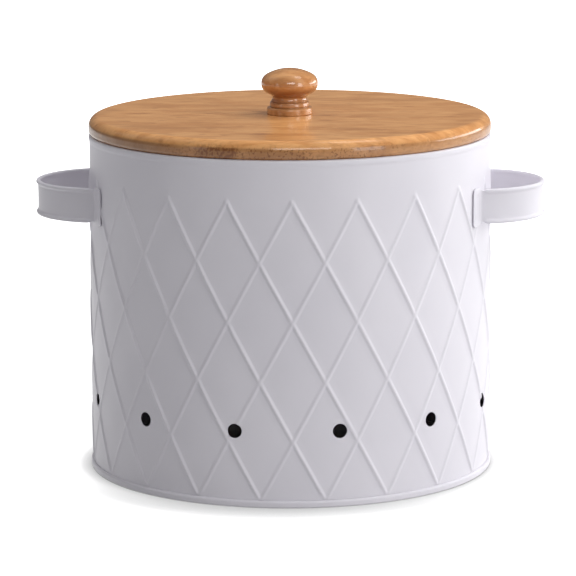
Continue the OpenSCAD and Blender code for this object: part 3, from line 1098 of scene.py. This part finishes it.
@dataclass
class StrapHandle:
    """A steel strap bent into a loop, with rolled edges and two welded tabs."""

    side: Side
    wall: float = 120.0
    reach: float = 32.8
    loop: float = 42.8
    middle: float = 162.8
    strap: float = 20.8
    thick: float = 1.2
    bead: float = 1.3
    bead_proud: float = 1.0
    hollow: float = 1.5
    dish: float = 0.12
    rolled_back: float = 226.0
    back_gap: float = 0.2
    flat: float = 18.8
    flat_before: float = 5.2
    flat_over: float = 4.2
    bend: float = 1.6
    tab: float = 22.8
    tab_end: float = 25.15
    tab_round: float = 2.6
    tab_before: float = 1.0
    tab_over: float = 4.0
    lift: float = 0.6
    lift_from: float = 3.0
    lift_over: float = 1.6
    recess: float = 0.45
    recess_slope: float = 1.1
    recess_end: float = 9.4
    recess_edge: float = 3.2
    recess_round: float = 3.0
    face_places: int = 33
    edge_steps: int = 21
    back_places: int = 7

    def channel(self) -> Array:
        """The strap in section where its edges are rolled, as (outwards, up) from its face line.

        The outer face is a shallow arc between the rolled edges. Each rolled edge is most of a
        circle that stands out past the face, and a hollow arc that touches the face and the
        circle lies between them: its centre is hollow out from the face, and hollow plus the
        circle's radius from the circle's centre. The inner face is flat.
        """
        edge = self.strap / 2 - self.bead
        cx = self.bead_proud - self.bead
        rise = math.sqrt((self.hollow + self.bead) ** 2 - (self.hollow - cx) ** 2)
        lean = math.degrees(math.atan2(rise, cx - self.hollow))
        bay = arc(self.hollow, edge - rise, self.hollow, 180.0, lean, 6)[1:-1]
        v = np.linspace(-1, 1, self.face_places - 2 * len(bay))
        face = np.vstack([bay[::-1] * np.array([1.0, -1.0]),
                          np.stack([-self.dish * (1 - v ** 2), v * (edge - rise)], axis=1), bay])
        top = arc(cx, edge, self.bead, lean - 180.0, self.rolled_back, self.edge_steps)
        inner, end = self.back_gap - self.thick, edge - self.bead
        back = np.stack([np.full(self.back_places, inner), np.linspace(end, -end, self.back_places)], axis=1)
        low = np.stack([top[::-1, 0], -top[::-1, 1]], axis=1)
        return np.vstack([face, top, back, low])

    def plain(self, height: Array, thick: Array) -> Array:
        """The strap in section where it is flat, with the same number of points.

        Args:
            height: full height of the strap at each station.
            thick: its thickness there.

        Returns:
            Points by station, (stations, places, 2).
        """
        r = (thick / 2)[:, None]
        top = arc(0.0, 0.0, 1.0, 0.0, 180.0, self.edge_steps)
        edge = height[:, None] / 2 - r
        v = np.linspace(-1, 1, self.face_places)[None]
        w = np.linspace(1, -1, self.back_places)[None]

        def pair(x: Array, z: Array) -> Array:
            """Points from their two coordinates."""
            return np.stack(np.broadcast_arrays(x, z), axis=-1)

        face = pair(np.zeros((1, 1)), v * (edge - self.back_gap))
        up = pair(r * (top[None, :, 0] - 1), edge + r * top[None, :, 1])
        back = pair(-2 * r, w * (edge - self.back_gap))
        low = pair(r * (top[None, ::-1, 0] - 1), -edge - r * top[None, ::-1, 1])
        return np.concatenate([face, up, back, low], axis=1)

    def pressed(self, rest: Array, up: Array) -> Array:
        """Depth of the shallow pressing in a tab's face.

        It is a rounded rectangle. With q the distance past its inner rectangle along each axis,
        the signed distance to its edge is the length of q's positive part, plus the larger q
        where both are negative, less the corner's radius.

        Args:
            rest: distance from the tab's end.
            up: height above the strap's middle.

        Returns:
            The depth at each point.
        """
        middle, half = (self.recess_edge + self.recess_end) / 2, (self.recess_end - self.recess_edge) / 2
        qx = np.abs(rest - middle) - (half - self.recess_round)
        qz = np.abs(up) - (self.tab / 2 - self.recess_edge - self.recess_round)
        edge = np.hypot(np.maximum(qx, 0), np.maximum(qz, 0)) + np.minimum(np.maximum(qx, qz), 0)
        return self.recess * eased(self.recess_round - edge, 0.0, self.recess_slope)

    def half_path(self) -> Tuple[Array, Array, Array, Array, Array]:
        """The face line in plan from the middle of the loop to the end of a tab.

        The line is an arc of the loop, a tight arc the other way round at the bend, and an arc
        along the wall. The two touch where the line between their centres crosses them, so the
        bend's centre lies bend past the tab's face from the axis, and bend past the loop's face
        from the loop's centre.

        Returns:
            Points, outward directions, the height of the strap, how far its edges are rolled,
            and the distance from the tab's end.
        """
        centre = self.wall + self.reach - self.loop
        face = self.loop - self.bead_proud
        far, near = self.wall + self.thick + self.bend, face + self.bend
        bx = (centre ** 2 + far ** 2 - near ** 2) / 2 / centre
        by = math.sqrt(far ** 2 - bx ** 2)
        a_loop, a_wall = math.atan2(by, bx - centre), math.atan2(by, bx)
        t = np.concatenate([np.linspace(0, a_loop - 0.26, 28), np.linspace(a_loop - 0.24, a_loop, 16)])
        out1 = unit(t)
        p1 = np.array([centre, 0.0]) + face * out1
        in2 = unit(np.linspace(a_loop, a_wall, 9)[1:] + math.pi)
        p2 = np.array([bx, by]) + self.bend * in2
        end = math.radians(self.tab_end)
        left = self.tab_round * (1 - np.sin(np.linspace(0, np.pi / 2, 9)))
        long = (end - a_wall) * (self.wall + self.thick)
        travel = np.concatenate([np.linspace(0, long - self.tab_round, 17)[1:-1], long - left])
        out3 = unit(a_wall + travel / (self.wall + self.thick))
        p3 = (self.wall + self.thick) * out3
        points = np.vstack([p1, p2, p3])
        outward = np.vstack([out1, -in2, out3])
        step = np.linalg.norm(np.diff(points, axis=0), axis=1)
        run = np.concatenate([[0.0], np.cumsum(step)])
        foot = run[len(t) - 1]
        flatter = np.clip((run - (foot - self.flat_before)) / self.flat_over, 0, 1)
        rolled = np.sqrt(1 - flatter ** 2)
        grow = eased(run, foot - self.tab_before, self.tab_over)
        height = self.flat + (self.tab - self.flat) * grow
        rest = run[-1] - run
        corner = self.tab_round - np.clip(rest, 0, self.tab_round)
        height = height - 2 * (self.tab_round - np.sqrt(np.clip(self.tab_round ** 2 - corner ** 2, 0, None)))
        return points, outward, height, rolled, rest

    def surface(self) -> Surface:
        """The strap carried along its path: the rolled section fades to the flat one at the feet."""
        points, outward, height, rolled, rest = self.half_path()
        flip = np.array([1.0, -1.0])
        points, outward = [np.vstack([half[:0:-1] * flip, half]) for half in (points, outward)]
        height, rolled, rest = [np.concatenate([half[:0:-1], half]) for half in (height, rolled, rest)]
        rolled = rolled[:, None, None]
        thick = self.thick - self.lift * (1 - eased(rest, self.lift_from, self.lift_over))
        section = self.channel()[None] * rolled + self.plain(height, thick) * (1 - rolled)
        face = section[:, :self.face_places]
        face[:, :, 0] -= self.pressed(rest[:, None], face[:, :, 1])
        plan = points[:, None, :] + outward[:, None, :] * section[:, :, :1]
        made = np.concatenate([plan, self.middle + section[:, :, 1:]], axis=2)
        surface = carried(made[::-1])
        return surface if self.side is Side.RIGHT else surface.turned_half()

    def build(self, coat: Material) -> None:
        """Makes the handle."""
        word = self.side.name.lower()
        make_piece(f"strap_handle_{word}", self.surface(), coat, Carrier.BIN,
                   [f"handle_{word}"], 60.0)


# The lid.


@dataclass
class BambooLid:
    """The lid: board, locating disc, turned knob, and the screw that holds the knob."""

    rest: float = 201.6
    thick: float = 10.6
    radius: float = 120.45
    top_round: float = 6.0
    low_round: float = 2.4
    plug: float = 116.0
    plug_thick: float = 6.0
    plug_round: float = 1.5
    bore: float = 2.1
    pocket: float = 7.0
    pocket_in: float = 3.6
    grip: float = 15.0
    flat_from: float = 60.0
    knob_high: float = 27.5
    knob_rim: Triple = (10.55, 18.3, 6.5)
    knob_rim_from: float = -72.0
    knob_foot: Tuple[Triple, ...] = ((13.65, 0.0, 0.5), (13.65, 4.2, 1.3), (11.25, 4.25, 0.25),
                                     (11.25, 4.75, 0.25), (12.1, 4.75, 0.5), (11.6, 7.45, 0.9),
                                     (10.3, 7.5, 0.25), (10.3, 7.95, 0.25))
    knob_neck: Tuple[Tuple[float, float], ...] = ((11.0, 8.0), (10.75, 8.35), (10.5, 8.9), (10.35, 9.5),
                                                  (10.3, 10.1), (10.6, 10.75))

    def board(self) -> Surface:
        """The board in section, with a soft top edge, turned about Z."""
        top = self.rest + self.thick
        corners = [(self.bore, self.rest, 0), (self.flat_from, self.rest, 0),
                   (self.radius, self.rest, self.low_round), (self.radius, top, self.top_round),
                   (self.flat_from, top, 0), (self.bore, top, 0)]
        return turned(rounded_outline(corners, True, 14), 320, True)

    def locating_disc(self) -> Surface:
        """The disc under the board, with the pocket of the screw's head, turned about Z."""
        low = self.rest - self.plug_thick
        corners = [(self.bore, low + self.pocket_in, 0), (self.pocket, low + self.pocket_in, 0.3),
                   (self.pocket, low, 0.4), (self.plug, low, self.plug_round),
                   (self.plug, self.rest, 0.2), (self.bore, self.rest, 0)]
        return turned(rounded_outline(corners, True, 6), 288, True)

    def knob(self) -> Surface:
        """The knob in section: a foot, a bead between two grooves, a neck and a broad head.

        Heights count from the board's top. knob_foot gives the radius, height and rounding of
        each corner, knob_neck points of the neck, and knob_rim the rim's centre and its radius.
        The rim is an arc that runs into the flatter arc of the crown where both have the same
        slope.
        """
        base = self.rest + self.thick
        corners = [(radius, base + up, soft) for radius, up, soft in self.knob_foot]
        foot = rounded_outline([(self.bore, base, 0), *corners], False)
        neck = np.array(self.knob_neck) + np.array([0.0, base])
        rim_x, rim_up, rim = self.knob_rim
        inward = self.knob_high - rim_up
        crown = (rim_x ** 2 + inward ** 2 - rim ** 2) / 2 / (inward - rim)
        centre = base + self.knob_high - crown
        meet = math.degrees(math.atan2(base + rim_up - centre, rim_x))
        head = arc(rim_x, base + rim_up, rim, self.knob_rim_from, meet, 26)
        dome = arc(0.0, centre, crown, meet, 90.0, 16)[1:]
        dome[-1, 0] = 0.0
        outside = np.vstack([foot, neck, head, dome])
        bore = np.array([[0.0, base + self.grip], [self.bore, base + self.grip]])
        return turned(np.vstack([bore, outside]), 192, False)

    def build(self, board: Material, turned_wood: Material, zinc: Material) -> None:
        """Makes the wooden pieces and dresses the CAD screw and washer.

        Args:
            board: finish of the board and the disc.
            turned_wood: finish of the knob.
            zinc: finish of the screw and the washer.
        """
        make_piece("lid_board_round", self.board(), board, Carrier.LID, ["lid_board"])
        make_piece("lid_locating_disc", self.locating_disc(), board, Carrier.LID,
                   ["lid_plug"])
        make_piece("lid_knob_turned", self.knob(), turned_wood, Carrier.LID,
                   ["lid_knob"], 40.0)
        for node in ("knob_screw", "knob_washer"):
            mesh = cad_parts[node].data
            mesh.materials.clear()
            mesh.materials.append(zinc)
            LOG.info("%s: CAD node kept, zinc plated", node)


# The studio.


@dataclass(frozen=True)
class Lamp:
    """A soft rectangular lamp that faces the bin and isn't seen by the camera.

    Its azimuth counts from the front towards +X and its elevation from the horizon, in degrees.
    Its distance, width and height are in metres and its power is in watts. Matt and gloss say
    whether it lights matt surfaces and whether glossy ones reflect it.
    """

    name: str
    azimuth: float
    elevation: float
    distance: float
    size: Tuple[float, float]
    power: float
    matt: bool = True
    gloss: bool = True
    aim_height: float = 0.11

    def hang(self) -> None:
        """Puts the lamp in the scene."""
        data = bpy.data.lights.new(self.name, "AREA")
        data.shape, data.energy = "RECTANGLE", self.power
        data.size, data.size_y = self.size
        a, e = math.radians(self.azimuth), math.radians(self.elevation)
        back = Vector((math.sin(a) * math.cos(e), -math.cos(a) * math.cos(e), math.sin(e)))
        lamp = put_in_scene(self.name, data)
        lamp.location = Vector((0.0, 0.0, self.aim_height)) + back * self.distance
        lamp.rotation_mode = "QUATERNION"
        lamp.rotation_quaternion = back.to_track_quat("Z", "Y")
        lamp.visible_camera, lamp.visible_diffuse, lamp.visible_glossy = False, self.matt, self.gloss


@dataclass
class Studio:
    """The floor, the soft lamps, the white surroundings and the camera."""

    distance: float = 1963.8
    azimuth: float = 2.3
    elevation: float = 10.7203
    roll: float = -0.2412
    aim_side: float = -1.438
    aim_height: float = 105.904
    lens: float = 203.02
    floor_half: float = 4000.0
    floor_low: float = 0.05
    dim: float = 0.13
    dim_tint: Colour = (0.98, 0.98, 1.0)
    lamps: Tuple[Lamp, ...] = (
        Lamp("right_low", 115.0, 12.0, 1.5, (1.3, 0.25), 6.5),
        Lamp("right_back", 110.0, 50.0, 1.5, (1.0, 0.8), 10.1, gloss=False),
        Lamp("right_front", 65.0, 40.0, 1.6, (1.0, 0.8), 3.4, gloss=False),
        Lamp("front_high", 45.0, 55.0, 1.6, (0.9, 0.8), 3.5, gloss=False),
        Lamp("front_low", 46.0, 12.0, 1.6, (0.5, 0.8), 6.3),
        Lamp("front_glint", 9.0, 31.0, 1.6, (0.8, 0.4), 7.0, matt=False),
        Lamp("high_glint", 120.0, 72.0, 1.5, (0.7, 0.35), 2.3, matt=False),
        Lamp("overhead", 0.0, 88.0, 1.2, (0.5, 0.5), 1.5, gloss=False),
        Lamp("behind", 180.0, 50.0, 1.6, (1.2, 1.0), 7.2, gloss=False),
        Lamp("left_window", -49.0, 12.0, 1.6, (0.3, 0.6), 0.9),
        Lamp("left_high", -78.0, 60.0, 1.6, (0.6, 0.6), 3.6, gloss=False),
        Lamp("left_back", -110.0, 45.0, 1.5, (0.8, 1.0), 0.9),
    )

    def floor(self) -> None:
        """A large sheet of pale paper at table height."""
        side = np.linspace(-self.floor_half, self.floor_half, 9)
        x, y = np.meshgrid(side, side)
        points = np.stack([x.ravel(), y.ravel(), np.full(x.size, -self.floor_low)], axis=1)
        quads = grid_quads(np.arange(x.size).reshape(x.shape))
        mesh = bpy.data.meshes.new("studio_floor")
        mesh.from_pydata((points * MM).tolist(), [], quads.tolist())
        mesh.materials.append(StudioPaper().material())
        sheet = put_in_scene("studio_floor", mesh)

    def surroundings(self) -> None:
        """Even dim light from all round, and plain white where the camera looks past the floor."""
        world = bpy.data.worlds.new("studio")
        bpy.context.scene.world = world
        world.use_nodes = True
        tree = world.node_tree
        tree.nodes.clear()
        path, dim, white, mix, out = (tree.nodes.new("ShaderNode" + kind) for kind in (
            "LightPath", "Background", "Background", "MixShader", "OutputWorld"))
        dim.inputs["Color"].default_value = (*self.dim_tint, 1.0)
        dim.inputs["Strength"].default_value = self.dim
        white.inputs["Color"].default_value = (1.0, 1.0, 1.0, 1.0)
        tree.links.new(path.outputs["Is Camera Ray"], mix.inputs[0])
        tree.links.new(dim.outputs[0], mix.inputs[1])
        tree.links.new(white.outputs[0], mix.inputs[2])
        tree.links.new(mix.outputs[0], out.inputs["Surface"])

    def camera(self) -> None:
        """The camera at the photograph's angle, from its fitted distance, aim and roll."""
        data = bpy.data.cameras.new("photo_camera")
        data.sensor_width, data.lens = 36.0, self.lens
        data.clip_start, data.clip_end = 0.05, 30.0
        camera = put_in_scene("photo_camera", data)
        turn = Matrix.Rotation(math.radians(self.azimuth), 3, "Z")
        e, r = math.radians(self.elevation), math.radians(self.roll)
        back = Vector((0.0, -math.cos(e), math.sin(e)))
        right, up = Vector((1.0, 0.0, 0.0)), Vector((0.0, math.sin(e), math.cos(e)))
        right, up = right * math.cos(r) + up * math.sin(r), up * math.cos(r) - right * math.sin(r)
        aim = Vector((self.aim_side, 0.0, self.aim_height)) * MM
        place = turn @ (aim + back * (self.distance * MM))
        axes = Matrix([turn @ right, turn @ up, turn @ back]).transposed()
        camera.matrix_world = Matrix.Translation(place) @ axes.to_4x4()
        bpy.context.scene.camera = camera

    def build(self) -> None:
        """Sets up the whole studio."""
        self.camera()
        self.floor()
        self.surroundings()
        for lamp in self.lamps:
            lamp.hang()
        bpy.context.scene.view_settings.view_transform = "Standard"


def main() -> None:
    """Builds the studio, the bin and the lid in order."""
    logging.basicConfig(level=logging.INFO, format="%(name)s: %(message)s")
    Studio().build()
    coat = PowderCoat().material()
    WallShell().build(coat)
    BasePan().build(coat)
    for side in Side:
        StrapHandle(side).build(coat)
    board = Bamboo("bamboo_board", edge_from=0.1155,
                   knots=((-0.013, -0.089, 0.008, 0.55), (0.080, -0.078, 0.007, 0.35),
                          (-0.107, 0.012, 0.008, 0.30), (0.022, -0.030, 0.006, 0.35))).material()
    # The knob's wood, with painted shade under its head.
    turned_wood = Bamboo("bamboo_turned", (0.700, 0.350, 0.138), (0.540, 0.235, 0.074),
                         (0.300, 0.105, 0.030), strip=0.013, first_joint=0.006, grain=1.7,
                         coat=1.0, under_gloss=0.35, painted_head_shade_from=0.2218).material()
    BambooLid().build(board, turned_wood, ZincPlate().material())


if __name__ == "__main__":
    main()
